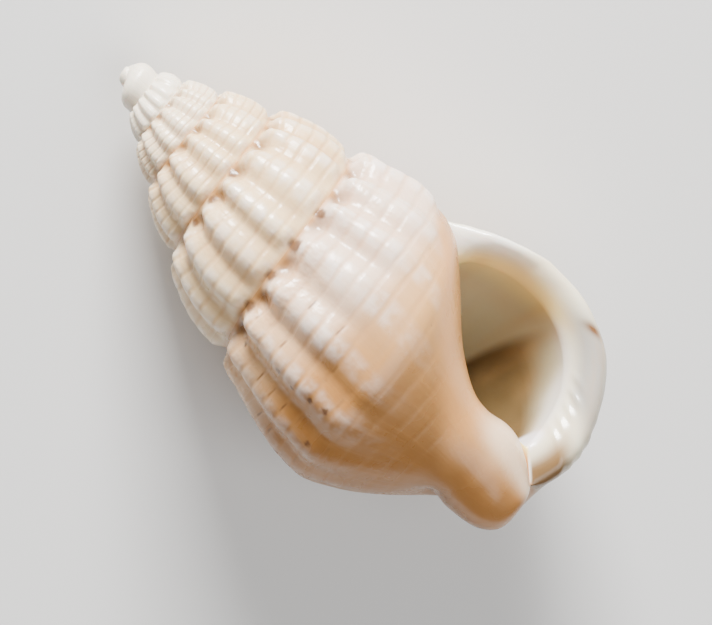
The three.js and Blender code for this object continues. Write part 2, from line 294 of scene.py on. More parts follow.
# Partly its own tan, mostly painted shade on the lobe beside the canal
LOBE_TAN_AND_PAINTED_SHADE = (0.19, 0.11, 0.045)
# Painted shade down the throat: grey, then brown deeper in
THROAT_PAINTED_SHADE = (0.50, 0.42, 0.25)
THROAT_DEEP_PAINTED_SHADE = (0.10, 0.062, 0.024)
CREST_WHITE = (0.84, 0.73, 0.66)
GROOVE_TAN = (0.55, 0.26, 0.08)
# Painted shade in the pits beside the suture
PIT_PAINTED_SHADE = (0.24, 0.105, 0.03)
STAIN_BROWN = (0.13, 0.055, 0.02)


def smooth(low, high, value):
    s = np.clip((value - low) / (high - low), 0, 1)
    return s * s * (3 - 2 * s)


def curve(knots, values, at):
    """A smooth curve through the values at the knots, its slopes taken from the neighbours.

    values is (knots, ...) or, where each sample has its own values, (samples, knots, ...).
    """
    at = np.clip(np.asarray(at, float), knots[0], knots[-1])
    own = values.ndim > 2 and values.shape[0] == at.shape[0] and values.shape[1] == len(knots)
    if not own:
        values = np.broadcast_to(values, at.shape + values.shape)
    widths = np.diff(knots)
    trailing = (1,) * (values.ndim - 2)
    wide = widths.reshape((1, -1) + trailing)
    rises = np.diff(values, axis=1) / wide
    slopes = np.empty_like(values)
    slopes[:, 0] = rises[:, 0]
    slopes[:, -1] = rises[:, -1]
    before = wide[:, :-1]
    after = wide[:, 1:]
    slopes[:, 1:-1] = (rises[:, :-1] * after + rises[:, 1:] * before) / (before + after)
    i = np.clip(np.searchsorted(knots, at, side="right") - 1, 0, len(knots) - 2)
    rows = np.arange(len(at))
    s = ((at - knots[i]) / widths[i]).reshape((-1,) + trailing)
    width = widths[i].reshape((-1,) + trailing)
    a = values[rows, i]
    b = values[rows, i + 1]
    bend = (1 - s) ** 2 * s * width * slopes[rows, i] - s * s * (1 - s) * width * slopes[rows, i + 1]
    return a + (b - a) * s * s * (3 - 2 * s) + bend


def at_azimuth(radius, degrees, z):
    azimuth = np.radians(degrees)
    return np.stack([radius * np.cos(azimuth), radius * np.sin(azimuth), z], axis=1)


def suture(turn):
    """Radius and height of the suture at each turn."""
    young = curve(SUTURE[:, 0], SUTURE[:, 1:], np.minimum(turn, 0))
    old = curve(RUN_ON[:, 0], RUN_ON[:, 1:], np.maximum(turn, 0))
    return np.where(turn[:, None] <= 0, young, old)


def coiled(turn, v):
    """Radius and height from suture to suture; on the last whorl the swelling no longer draws in again."""
    above = suture(turn)
    run = suture(turn + 1) - above
    young = 1 - smooth(*YOUNG_TURNS, turn)
    reach = 1 - LAST_REACH * smooth(*LAST_TURNS, turn)
    bulge = (SWELL + YOUNG_SWELL * young) * np.sin(math.pi * v * reach)
    out = np.stack([-run[:, 1], run[:, 0]], axis=1)
    return above + run * v[:, None] + out * bulge[:, None]


def sheet(turn, v):
    """Points of the outer sheet before relief."""
    upper = coiled(turn, np.minimum(v, 1))
    place = np.concatenate([upper, np.zeros_like(upper)], axis=1)
    low = np.nonzero(v > 1)[0]
    if len(low):
        stations = curve(LOWER_TURNS, LOWER.reshape(len(LOWER), -1), turn[low])
        stations = stations.reshape(len(low), -1, 2)
        first = upper[low][:, None]
        last = np.broadcast_to(np.array([0, NECK_END_Z]), (len(low), 1, 2))
        profile = np.concatenate([first, stations, last], axis=1)
        drift = np.broadcast_to(DRIFT, (len(low),) + DRIFT.shape)
        profile = np.concatenate([profile, drift], axis=2)
        place[low] = curve(np.linspace(0, 1, profile.shape[1]), profile, v[low] - 1)
    r, z, x, y = place.T
    point = at_azimuth(r, LIP_AZIMUTH - 360 * turn, z)
    return point + np.stack([x, y, np.zeros_like(x)], axis=1)


def outward(turn, v):
    """Direction that faces away from the shell's skin."""
    across = sheet(turn, np.minimum(v + SLOPE_STEP, 2)) - sheet(turn, np.maximum(v - SLOPE_STEP, 0))
    along = sheet(turn + SLOPE_STEP, v) - sheet(turn - SLOPE_STEP, v)
    normal = np.cross(along, across)
    return normal / np.maximum(np.linalg.norm(normal, axis=1, keepdims=True), LEAST_LENGTH)


def rib_phase(start):
    """Rib number at the suture, whole on the crests; the spacing wanders a little."""
    shift = SPIRE_SHIFT + (LAST_SHIFT - SPIRE_SHIFT) * smooth(*SHIFT_TURNS, start)
    wander = np.sin(start * WANDER_WAVES[0]) + np.sin(start * WANDER_WAVES[1] + WANDER_PHASE)
    return RIBS_PER_TURN * start + shift + RIB_WANDER / 2 * wander


def callused(turn, v):
    """The smooth band beside the mouth; its edge swings away from the mouth as it nears the neck."""
    edge = CALLUS_TURN + CALLUS_SWING * (np.maximum(v, CALLUS_SWING_TOP) - 1)
    band = 1 - smooth(edge - CALLUS_BLEND, edge + CALLUS_BLEND, turn)
    return (turn >= -1) * band * smooth(*CALLUS_ROWS, v)


def whorl_size(turn):
    """How large the whorl is, up to 1 where ribs have their full height."""
    return np.minimum(1, suture(np.minimum(turn + 1, 0))[:, 0] / FULL_RIB_RADIUS)


def clearance(turn, v):
    """Where the surface is rough at all: relief grows with the whorl and fades on callus and lip."""
    lip = 1 - LIP_SMOOTHING * smooth(*LIP_TURNS, turn)
    return whorl_size(turn) * lip * (1 - callused(turn, v))


def rib_presence(start, turn, v):
    """Where ribs stand: from the suture down, fading on the base."""
    fade = RIB_FOOT + SIDE_FOOT * smooth(*SIDE_TURNS, turn)
    foot = np.where(start < -1 + LEAN, smooth(0, RIB_RISE, 1 - v), 1 - smooth(fade, fade + FOOT_FADE, v))
    waves = np.sin(start * UNEVEN_WAVES[0]) * np.sin(start * UNEVEN_WAVES[1] + UNEVEN_PHASE)
    uneven = 1 + RIB_UNEVEN * waves
    return clearance(turn, v) * smooth(*RIB_START, turn) * smooth(0, RIB_RISE, v) * foot * uneven


def cord_phase(v):
    """Cord number down the whorl, whole in the grooves between cords."""
    return np.minimum(v, 1) * UPPER_CORDS + np.maximum(v - 1, 0) * LOWER_CORDS


def cord_presence(start, turn, v):
    """Where cords stand: not on the first whorls, the neck, nor the callus beside the mouth."""
    base = (1 - CORD_THINNING * smooth(*CORD_THINNING_ROWS, v)) * (1 - smooth(*CORD_FADE_ROWS, v))
    below = np.where(start < -1 + LEAN, smooth(0, CORD_END, 1 - v), 1)
    return smooth(*CORD_START, turn) * base * (1 - callused(turn, v)) * smooth(0, CORD_END, v) * below


def bump(value, middle, spread):
    """A soft peak, 1 at the middle."""
    return np.exp(-(((value - middle) / spread) ** 2))


def carved(start, v):
    """Points of the carved sheet, on lines that leave the suture at the start turn and lean back below."""
    turn = start - LEAN * np.minimum(v, 1)
    crest = 0.5 + 0.5 * np.cos(2 * math.pi * rib_phase(start))
    ribbed = rib_presence(start, turn, v)
    corded = cord_presence(start, turn, v)
    groove = np.maximum(np.cos(2 * math.pi * cord_phase(v)), 0)
    head = bump(v, HEAD_V, HEAD_SPREAD) * ribbed
    sunk = bump(v, PIT_V, PIT_SPREAD) * smooth(0, PIT_RISE, v)
    pit = sunk * smooth(*PIT_START, turn) * clearance(turn, v)
    height = RIB_HEIGHT * ribbed * crest ** RIB_POWER
    height += HEAD_RISE * head * crest
    height -= PIT_DEPTH * pit * (1 - crest)
    height -= groove * corded * whorl_size(turn) * (GROOVE_DEPTH + BEAD_DEPTH * crest * np.minimum(ribbed, 1))
    nothing = np.zeros_like(turn)
    kept = {
        "rib": rib_phase(start),
        "cord": cord_phase(v),
        "ribbed": ribbed,
        "corded": corded,
        "turn": turn,
        "down": v,
    }
    marks = np.stack([kept.get(name, nothing) for name in MARKS], axis=1)
    return sheet(turn, v) + outward(turn, v) * height[:, None], marks


class Skin:
    """Collects the points, their marks and the faces of the shell."""

    def __init__(self):
        self.points = []
        self.marks = []
        self.faces = []
        self.count = 0

    def add(self, points, marks):
        start = self.count
        self.points.append(points)
        self.marks.append(marks)
        self.count += len(points)
        return np.arange(start, self.count)

    def quads(self, a, b, c, d):
        for face in zip(a.tolist(), b.tolist(), c.tolist(), d.tolist()):
            kept = list(dict.fromkeys(face))
            if len(kept) > 2:
                self.faces.append(kept)


def make_shell():
    """Points, marks and faces of the whole shell."""
    skin = Skin()
    last_line = -FIRST_TURN * STEPS_PER_TURN
    inner_line = last_line - STEPS_PER_TURN + LEAN_STEPS
    apex_marks = carved(np.array([float(APEX_TURN)]), np.array([0.0]))[1]
    apex = skin.add(np.array([[0, 0, APEX_Z]]), apex_marks)[0]
    end_marks = carved(np.array([-0.5]), np.array([2.0]))[1]
    neck_end = skin.add(np.array([[DRIFT[-1][0], DRIFT[-1][1], NECK_END_Z]]), end_marks)[0]
    upper = np.arange(UPPER_ROWS + 1) / UPPER_ROWS
    whole = np.concatenate([upper, 1 + np.arange(1, LOWER_ROWS + 1) / LOWER_ROWS])
    whole_rows = UPPER_ROWS + LOWER_ROWS
    lines = []
    for number in range(last_line + 1):
        start = FIRST_TURN + number / STEPS_PER_TURN
        rows = upper if number < inner_line else whole
        line = np.full(len(rows), apex)
        own = (start - LEAN * rows + 1 > APEX_TURN) & ((rows > 0) | (start > APEX_TURN))
        own[whole_rows:] = False
        line[own] = skin.add(*carved(np.full(own.sum(), start), rows[own]))
        line[whole_rows:] = neck_end
        lines.append(line)
    for left, right in zip(lines[:-1], lines[1:]):
        n = len(left)
        skin.quads(left[:-1], right[: n - 1], right[1:n], left[1:])

    # The edge of the sheet: down the lip from the suture to the canal, then back up the inner lip
    inner_edge = lines[inner_line][UPPER_ROWS + 1:whole_rows][::-1]
    edge = np.concatenate([lines[last_line][:whole_rows], inner_edge])
    edge_points = np.concatenate(skin.points)[edge]
    edge_marks = np.concatenate(skin.marks)[edge]
    place = np.arange(len(edge))
    on_lip = place < whole_rows
    share = np.where(on_lip, place / whole_rows, (place - whole_rows) / LOWER_ROWS)

    def sections(table, at):
        knots = np.linspace(0, 1, table.shape[1])
        return np.stack([curve(knots, row, at) for row in table])

    outer_wall = sections(THROAT_OUTER, share)
    inner_wall = sections(THROAT_INNER, share)
    walls = np.where(on_lip[None, :, None], outer_wall, inner_wall).reshape(len(THROAT_DEPTHS), -1)

    def throat(depth):
        section = curve(THROAT_DEPTHS, walls, np.array([depth]))[0].reshape(-1, 2)
        return at_azimuth(section[:, 0], LIP_AZIMUTH + 360 * depth, section[:, 1])

    def marked(inward):
        marks = edge_marks.copy()
        marks[:, MARKS.index("inward")] = inward
        marks[:, MARKS.index("share")] = np.where(on_lip, share, -share)
        return marks

    # The lip is rounded over from the edge into the throat
    entry = THROAT_DEPTHS[0]
    body = np.minimum(1, np.sin(math.pi * share) * RIM_FULLNESS)
    azimuth = np.radians(LIP_AZIMUTH + np.where(on_lip, 360 * LEAN * np.minimum(share * 2, 1), 0))
    carry = np.where(on_lip, RIM_CARRY, -INNER_CARRY) * body
    leave = np.stack([np.sin(azimuth), -np.cos(azimuth), np.zeros_like(azimuth)], axis=1) * carry[:, None]
    mouth = throat(entry)
    arrive = (throat(entry + RIM_ENTRY) - mouth) * np.where(on_lip, 1, INNER_ENTRY)[:, None]
    tooth_wave = 0.5 + 0.5 * np.cos(2 * math.pi * TEETH * (share - TEETH_FROM) / (TEETH_TO - TEETH_FROM))
    begun = smooth(TEETH_FROM - TEETH_BLEND_IN, TEETH_FROM + TEETH_BLEND_IN, share)
    ended = smooth(TEETH_TO - TEETH_BLEND_OUT, TEETH_TO + TEETH_BLEND_OUT, share)
    toothed = on_lip * begun * (1 - ended)
    tooth = toothed * tooth_wave ** TOOTH_POWER * TOOTH_HEIGHT
    scallop = toothed * (tooth_wave - 0.5) * SCALLOP_HEIGHT
    inwards = mouth.mean(axis=0) - mouth
    inwards /= np.linalg.norm(inwards, axis=1, keepdims=True)
    ring = edge
    for row in range(1, RIM_ROWS + 1):
        s = row / RIM_ROWS
        points = edge_points + (mouth - edge_points) * s * s * (3 - 2 * s)
        points = points + leave * s * (1 - s) ** 2 - arrive * s * s * (1 - s)
        teeth = tooth * bump(s, TOOTH_DEPTH, TOOTH_REACH)
        scallops = scallop * bump(s, SCALLOP_DEPTH, SCALLOP_REACH)
        points = points + inwards * (teeth - scallops)[:, None]
        ring_next = skin.add(points, marked(s))
        skin.quads(np.roll(ring, -1), ring, ring_next, np.roll(ring_next, -1))
        ring = ring_next

    # The throat winds back round the axis and closes inside the shell
    deepest = THROAT_DEPTHS[-1]
    for row in range(1, THROAT_ROWS + 1):
        s = row / THROAT_ROWS
        depth = entry + (deepest - entry) * s ** THROAT_CROWDING
        ring_next = skin.add(throat(depth), marked(1 + depth))
        skin.quads(np.roll(ring, -1), ring, ring_next, np.roll(ring_next, -1))
        ring = ring_next
    centre = np.concatenate(skin.points)[ring].mean(axis=0, keepdims=True)
    end = int(skin.add(centre, marked(1 + deepest)[:1])[0])
    pairs = zip(np.roll(ring, -1).tolist(), ring.tolist())
    skin.faces.extend([after, before, end] for after, before in pairs)
    return np.concatenate(skin.points), np.concatenate(skin.marks), skin.faces


def lay_down(points):
    """Lays the shell on its back, flattens the spots that it lies on and centres it over the origin."""
    tipped = Matrix.Rotation(math.radians(REST_PITCH), 3, "X")
    turned = Matrix.Rotation(math.radians(REST_LEAN), 3, "Y") @ tipped
    points = points @ np.array(turned).T
    floor = points[:, 2].min() + WORN_FLAT
    points[:, 2] = np.maximum(points[:, 2], floor)
    low = points.min(axis=0)
    high = points.max(axis=0)
    shift = np.array([(low[0] + high[0]) / 2, (low[1] + high[1]) / 2, floor])
    return points - shift, turned, shift


def toward(colours, colour, amount):
    """The colours mixed with one colour by the amount at each point."""
    return colours + (np.array(colour) - colours) * np.clip(amount, 0, 1)[:, None]


# Where the broad colours change: turns, v, way into the mouth, and share of the mouth's edge
CREAM_TURNS = (-5.0, -2.6)
PINK_TURNS = (-1.35, -0.95)
PINK_AMOUNT = 0.9
# Left side of the last whorl, more peach and tan: partly its own colour, partly painted shade
LEFT_TINT_AND_SHADE_TURNS = (-0.8, -0.56)
LEFT_PEACH_AND_SHADE = 0.8
PEACH_ROWS = (0.7, 1.15)
TAN_ROWS = (0.75, 1.45)
LEFT_TAN_AND_SHADE_ROWS = 0.5
TAN_AMOUNT = 0.75
NECK_ROWS = (1.42, 1.6)
NECK_TURNS = (-0.8, -0.7)
NECK_TAN = 0.75
LIP_BACK_TURNS = (-0.12, -0.01)
MOUTH_EDGE = (0, 0.35)
LOWER_LIP = (0.4, 0.6)
YELLOW_INWARD = (0.55, 0.9)
WHITE_INWARD = (0.7, 1.0)
# Painted light on the lip's top and painted shade on its right
LIT_LIP = (0.12, 0.3)
LIT_INWARD = (0.45, 0.75)
SHADED_LIP_START = (0.36, 0.52)
SHADED_LIP_END = (0.68, 0.8)
SHADED_LIP_INWARD = (0.6, 0.9)
MOUTH_TOP = (0.28, 0.5)
MOUTH_INNER_TOP = (0.5, 0.7)
MOUTH_FOOT = (0.6, 0.75)
# Painted shade down the throat, grey then brown, and how much later or sooner it comes at the lip's top and
# foot
THROAT_SHADE_DEPTH = (0.99, 1.05)
THROAT_SHADE_TOP_DELAY = 0.02
THROAT_SHADE_FOOT_DELAY = 0.04
DEEP_SHADE_DEPTH = (1.02, 1.1)
DEEP_SHADE_TOP_DELAY = 0.3
DEEP_SHADE_FOOT_DELAY = 0.02
RIDGE_SHARE = (0.88, 0.92)
RIDGE_START = (0.7, 0.9)
RIDGE_END = (1.1, 1.2)
# Lobe beside the canal, darkened partly as its own tan and mostly as painted shade
LOBE_SHARE = (0.77, 0.88)
LOBE_INWARD = (0.4, 0.7)
LOBE_TURNS = (-0.15, -0.02)
LOBE_ROWS = (1.7, 1.82)


def fade(pair, value):
    """1 before the pair of values and 0 after it."""
    return 1 - smooth(*pair, value)


def outer_tones(colours, turn, down):
    """White apex, cream spire, pinkish white last whorl, orange base, peach callus and ivory lip; the left
    side of the last whorl is more peach and tan, partly its own colour and partly painted shade.
    """
    last = turn > -1
    colours = toward(colours, SPIRE_CREAM, smooth(*CREAM_TURNS, turn))
    colours = toward(colours, PINKISH_WHITE, PINK_AMOUNT * smooth(*PINK_TURNS, turn))
    # The left side of the last whorl gets more peach and tan: partly its own colour, partly painted shade
    left_tint_and_shade = smooth(*LEFT_TINT_AND_SHADE_TURNS, turn)
    colours = toward(colours, PEACH, last * LEFT_PEACH_AND_SHADE * left_tint_and_shade)
    colours = toward(colours, PEACH, last * smooth(*PEACH_ROWS, down))
    tanned = smooth(*TAN_ROWS, down + LEFT_TAN_AND_SHADE_ROWS * left_tint_and_shade) * (TAN_AMOUNT + (1 - TAN_AMOUNT) * left_tint_and_shade)
    colours = toward(colours, ORANGE_TAN, last * tanned)
    colours = toward(colours, CALLUS, callused(turn, down))
    neck = last * smooth(*NECK_ROWS, down)
    front = fade(NECK_TURNS, turn)
    colours = toward(colours, NECK_WHITE, neck * front)
    colours = toward(colours, ORANGE_TAN, neck * (1 - front) * NECK_TAN)
    return toward(colours, IVORY, last * smooth(*LIP_BACK_TURNS, turn))


def mouth_tones(colours, inward, share):
    """Ivory lip with painted light at its top and painted shade at its right; yellow under its top, partly
    painted light; then painted shade down the throat, grey and then brown.
    """
    outer_side = share >= 0
    within = smooth(*MOUTH_EDGE, inward)
    colours = toward(colours, IVORY, within * outer_side)
    colours = toward(colours, CALLUS, within * ~outer_side)
    low = smooth(*LOWER_LIP, share)
    # The yellow under the lip's top is partly its own colour and partly painted light in the lip's shade
    colours = toward(colours, MOUTH_YELLOW_AND_PAINTED_LIGHT, smooth(*YELLOW_INWARD, inward) * (1 - low))
    colours = toward(colours, MOUTH_WHITE, smooth(*WHITE_INWARD, inward) * low)
    # The lip's top is painted lighter and its right side greyer: painted light and painted shade on the same
    # ivory
    lit = outer_side * fade(LIT_LIP, share)
    colours = toward(colours, LIP_PAINTED_LIGHT, lit * within * fade(LIT_INWARD, inward))
    shaded_lip = outer_side * smooth(*SHADED_LIP_START, share) * fade(SHADED_LIP_END, share)
    colours = toward(colours, LIP_PAINTED_SHADE, shaded_lip * within * fade(SHADED_LIP_INWARD, inward))
    top = np.where(outer_side, fade(MOUTH_TOP, share), smooth(*MOUTH_INNER_TOP, -share))
    foot = outer_side * smooth(*MOUTH_FOOT, share)
    # Grey and then brown down the throat are painted shade of its depth; they come later under the lip's top
    # and sooner at its foot
    throat_shade = smooth(*THROAT_SHADE_DEPTH, inward - THROAT_SHADE_TOP_DELAY * top - THROAT_SHADE_FOOT_DELAY * foot)
    colours = toward(colours, THROAT_PAINTED_SHADE, throat_shade)
    deep_shade = smooth(*DEEP_SHADE_DEPTH, inward - DEEP_SHADE_TOP_DELAY * top - DEEP_SHADE_FOOT_DELAY * foot)
    colours = toward(colours, THROAT_DEEP_PAINTED_SHADE, deep_shade)
    ridge = outer_side * smooth(*RIDGE_SHARE, share) * smooth(*RIDGE_START, inward) * fade(RIDGE_END, inward)
    return toward(colours, RIDGE_WHITE, ridge)


def tones(marks):
    """The broad colour of each point, with the lobe beside the canal darkened, partly its own tan and mostly
    painted shade, and the stain on the lip.
    """
    turn, down, inward, share = (marks[:, MARKS.index(name)] for name in ("turn", "down", "inward", "share"))
    last = turn > -1
    outer_side = share >= 0
    colours = np.tile(np.array(APEX_WHITE), (len(turn), 1))
    colours = outer_tones(colours, turn, down)
    colours = mouth_tones(colours, inward, share)
    # The lobe beside the canal is darkened: partly its own tan, mostly painted shade
    lobe_shade_inside = outer_side * smooth(*LOBE_SHARE, share) * fade(LOBE_INWARD, inward) * (inward > 0)
    lobe_shade_back = (inward == 0) * last * smooth(*LOBE_TURNS, turn) * smooth(*LOBE_ROWS, down)
    colours = toward(colours, LOBE_TAN_AND_PAINTED_SHADE, np.maximum(lobe_shade_inside, lobe_shade_back))
    stain = bump(share, LIP_STAIN_SHARE, LIP_STAIN_WIDTH) * bump(inward, LIP_STAIN_INWARD, LIP_STAIN_REACH)
    return toward(colours, STAIN_BROWN, LIP_STAIN_STRENGTH * outer_side * last * stain)


def stains(points, marks):
    """How brown each point is, from the stains in the sutures and between the ribs."""
    amount = np.zeros(len(points))
    on_sheet = marks[:, MARKS.index("inward")] == 0
    for start, v, radius in STAINS:
        centre = carved(np.array([start]), np.array([v]))[0][0]
        distance = np.linalg.norm(points - centre, axis=1)
        amount = np.maximum(amount, bump(distance, 0, radius) * on_sheet)
    return amount


# The shell's mesh, with what the material needs to know at each point
own_points, marks, shell_faces = make_shell()
laid, turned, shift = lay_down(own_points)
mesh = bpy.data.meshes.new("shell_skin")
mesh.from_pydata((laid * MM).tolist(), [], shell_faces)
for name in ("rib", "cord", "ribbed", "corded", "turn", "down", "inward"):
    layer = mesh.attributes.new(name, "FLOAT", "POINT")
    layer.data.foreach_set("value", marks[:, MARKS.index(name)].astype(np.float32))
layer = mesh.attributes.new("stain", "FLOAT", "POINT")
layer.data.foreach_set("value", stains(own_points, marks).astype(np.float32))
layer = mesh.attributes.new("tone", "FLOAT_COLOR", "POINT")
tone = np.concatenate([tones(marks), np.ones((len(marks), 1))], axis=1)
layer.data.foreach_set("color", tone.astype(np.float32).ravel())
mesh.update()
mesh.shade_smooth()
shell = bpy.data.objects.new("shell_skin", mesh)
bpy.context.scene.collection.objects.link(shell)
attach(shell, "root")
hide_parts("shell")


class Look:
    """Builds a material's nodes from short calls."""

    def __init__(self, name):
        self.material = bpy.data.materials.new(name)
        self.material.use_nodes = True
        self.nodes = self.material.node_tree.nodes
        self.links = self.material.node_tree.links
        self.bsdf = self.nodes["Principled BSDF"]

    def put(self, socket, value):
        if isinstance(value, bpy.types.NodeSocket):
            self.links.new(value, socket)
        else:
            socket.default_value = value

    def value(self, name):
        node = self.nodes.new("ShaderNodeAttribute")
        node.attribute_name = name
        return node.outputs["Fac"]

    def colour(self, name):
        node = self.nodes.new("ShaderNodeAttribute")
        node.attribute_name = name
        return node.outputs["Color"]

    def math(self, operation, *values):
        node = self.nodes.new("ShaderNodeMath")
        node.operation = operation
        for socket, value in zip(node.inputs, values):
            self.put(socket, value)
        return node.outputs[0]

    def ramp(self, value, low, high, start=0.0, end=1.0):
        node = self.nodes.new("ShaderNodeMapRange")
        node.interpolation_type = "SMOOTHSTEP"
        names = ("Value", "From Min", "From Max", "To Min", "To Max")
        for name, number in zip(names, (value, low, high, start, end)):
            self.put(node.inputs[name], number)
        return node.outputs["Result"]

    def noise(self, vector, scale, detail=2.0):
        node = self.nodes.new("ShaderNodeTexNoise")
        self.put(node.inputs["Vector"], vector)
        self.put(node.inputs["Scale"], scale)
        self.put(node.inputs["Detail"], detail)
        self.put(node.inputs["Roughness"], NOISE_ROUGHNESS)
        return node.outputs["Fac"]

    def vector(self, x, y, z):
        node = self.nodes.new("ShaderNodeCombineXYZ")
        for socket, number in zip(node.inputs, (x, y, z)):
            self.put(socket, number)
        return node.outputs[0]

    def mix(self, amount, a, b):
        node = self.nodes.new("ShaderNodeMix")
        node.data_type = "RGBA"
        self.put(node.inputs["Factor"], amount)
        self.put(node.inputs["A"], a if isinstance(a, bpy.types.NodeSocket) else (*a, 1))
        self.put(node.inputs["B"], b if isinstance(b, bpy.types.NodeSocket) else (*b, 1))
        return node.outputs["Result"]

    def plus(self, a, b):
        return self.math("ADD", a, b)

    def times(self, *values):
        product = values[0]
        for value in values[1:]:
            product = self.math("MULTIPLY", product, value)
        return product


# How strong the fine waves of the noise are, and its scales in waves to the metre
NOISE_ROUGHNESS = 0.5
PATCH_SCALE = 420.0
MOTTLE_SCALE = 900.0
CRINKLE_SCALE = 2800.0
RAGGED_SCALE = 5200.0
GRAIN_SCALE = 9000.0

# Wavering of the grooves: its width in cords, its waves to a cord, and how many times as many to a rib
GROOVE_WAVER = 0.16
WAVER_SCALE = 2.3
WAVER_ALONG = 0.9

# Growth lines: waves to a rib, to a cord and to the way into the mouth, and how far they are coloured
GROWTH_STRETCH = (7.0, 0.22, 3.0)
GROWTH_COLOUR = 0.22

# Short brown dashes in the grooves: waves to a rib of the noise that places them, how many times as many to a
# cord, the slice of the noise that is used, and how far the dashes are coloured
DASH_SCALE = 1.3
DASH_STRETCH = 0.8
DASH_SLICE = 4.0
DASH_COLOUR = 0.75

# How far colours go
LOW_CELLS = 0.7
BASE_GROOVES = 0.35
# Strength of the painted shade along the suture
SUTURE_SHADE_AMOUNT = 0.7
PATCH_COLOUR = 0.2
RAGGEDNESS = 0.5
STAIN_COLOUR = 0.9

# Ramps: where each starts and ends and, unless they are 0 and 1, its values there
SHEET_ONLY = (0.0, 0.05, 1.0, 0.0)
GROOVE_WIDTH = (0.0, 0.24, 1.0, 0.0)
DASH_WIDTH = (0.02, 0.1, 1.0, 0.0)
GROWING = (1.3, 1.6, 1.0, 0.3)
HOLLOW_PATCHES = (0.3, 0.7, 0.2, 0.5)
HOLLOW_TURNS = (-1.0, -0.6, 1.0, 0.5)
CREST_TURNS = (-0.68, -0.54, 1.0, 0.35)
CREST_TOP = (0.35, 0.9)
CREST_CRINKLES = (0.3, 0.65, 0.1, 0.7)
LOW_CELLS_START = (0.6, 0.8)
LOW_CELLS_END = (1.0, 1.3, 1.0, 0.0)
LOW_CELLS_TURNS = (-0.72, -0.6, 1.0, 0.0)
ON_BASE = (0.8, 1.15)
GROOVE_MOTTLE = (0.35, 0.65, 0.05, 0.35)
FLANK_START = (0.0, 0.2)
FLANK_END = (0.5, 0.8, 1.0, 0.0)
DASH_PLACES = (0.5, 0.6)
DASH_TURNS = (-0.76, -0.66)
# Rows, turns and patches of the painted shade in the pits beside the suture
PIT_ROWS = (0.04, 0.22, 1.0, 0.0)
PIT_TURNS = (-5.0, -4.0)
PIT_PATCHES = (0.3, 0.6, 0.45, 1.0)
BELOW_SUTURE = (0.0, 0.05, 1.0, 0.0)
ABOVE_SUTURE = (0.94, 1.0)
BEFORE_LAST = (-1.0, -0.995, 1.0, 0.0)
# Turns where the painted shade along the suture comes in
SUTURE_SHADE_TURNS = (-4.6, -3.2)
GROWTH_LINES = (0.5, 0.75)
PEACH_PATCHES = (0.5, 0.8)
STAIN_EDGE = (0.25, 0.8)

# Gloss and light under the surface
LEAST_ROUGH = 0.16
MOTTLE_ROUGH = 0.3
GROOVE_ROUGH = 0.15
MOUTH_GLOSS = (0.0, 0.3, 0.9, 0.6)
SHELL_IOR = 1.53
UNDER_LIGHT = 0.2
UNDER_LIGHT_RADIUS = (1.0, 0.6, 0.35)
UNDER_LIGHT_DEPTH = 0.0004

# Fine relief: its reach in metres and the weight of each part
RELIEF_REACH = 0.00004
RELIEF_STRENGTH = 0.8
GROOVE_RELIEF = (0.35, 0.65, 0.16, 0.4)
GROWTH_RELIEF = 0.3
CRINKLE_RELIEF = (0.15, 0.6, 1.9, 0.5)
MOTTLE_RELIEF = 0.25
GRAIN_RELIEF = 0.05

look = Look("shell_look")
place = look.nodes.new("ShaderNodeTexCoord").outputs["Object"]
rib = look.value("rib")
cord = look.value("cord")
ribbed = look.value("ribbed")
corded = look.value("corded")
turn = look.value("turn")
down = look.value("down")
inward = look.value("inward")
patch = look.noise(place, PATCH_SCALE)
mottle = look.noise(place, MOTTLE_SCALE, 3.0)
crinkle = look.noise(place, CRINKLE_SCALE)
grain = look.noise(place, GRAIN_SCALE)
on_sheet = look.ramp(inward, *SHEET_ONLY)

# Rib crests, 1 on the crest and 0 between ribs
crest = look.math("MULTIPLY_ADD", look.math("COSINE", look.times(rib, 2 * math.pi)), 0.5, 0.5)
between = look.math("SUBTRACT", 1.0, crest)

# Narrow grooves between the cords, 1 in the groove, slightly uneven in width
waver = look.noise(look.vector(look.times(rib, WAVER_ALONG), cord, 0.0), WAVER_SCALE)
cord_place = look.plus(cord, look.math("MULTIPLY_ADD", waver, GROOVE_WAVER, -GROOVE_WAVER / 2))
to_groove = look.math("PINGPONG", cord_place, 0.5)
groove = look.times(look.ramp(to_groove, *GROOVE_WIDTH), corded, on_sheet)
between_grooves = look.math("SUBTRACT", 1.0, groove)

# Growth lines run with the ribs
growth_place = look.vector(*(look.times(a, b) for a, b in zip((rib, cord, inward), GROWTH_STRETCH)))
growth = look.noise(growth_place, 1.0, 3.0)
growing = look.ramp(down, *GROWING)

# Colour of hollows between ribs, of whitish rib crests, which go on as pale cells below, and of grooves
colour = look.colour("tone")
hollow = look.times(between, ribbed, look.ramp(patch, *HOLLOW_PATCHES), look.ramp(turn, *HOLLOW_TURNS))
colour = look.mix(hollow, colour, GROOVE_TAN)
low_rows = look.times(look.ramp(down, *LOW_CELLS_START), look.ramp(down, *LOW_CELLS_END))
low_cells = look.times(low_rows, corded, LOW_CELLS, look.ramp(turn, *LOW_CELLS_TURNS))
raised = look.math("MAXIMUM", ribbed, low_cells)
block = look.times(look.ramp(crest, *CREST_TOP), raised, between_grooves, look.ramp(turn, *CREST_TURNS))
colour = look.mix(look.times(block, look.ramp(crinkle, *CREST_CRINKLES)), colour, CREST_WHITE)
above_base = look.math("SUBTRACT", 1.0, look.times(look.ramp(down, *ON_BASE), BASE_GROOVES))
tinge = look.times(groove, look.ramp(mottle, *GROOVE_MOTTLE), above_base)
colour = look.mix(tinge, colour, GROOVE_TAN)

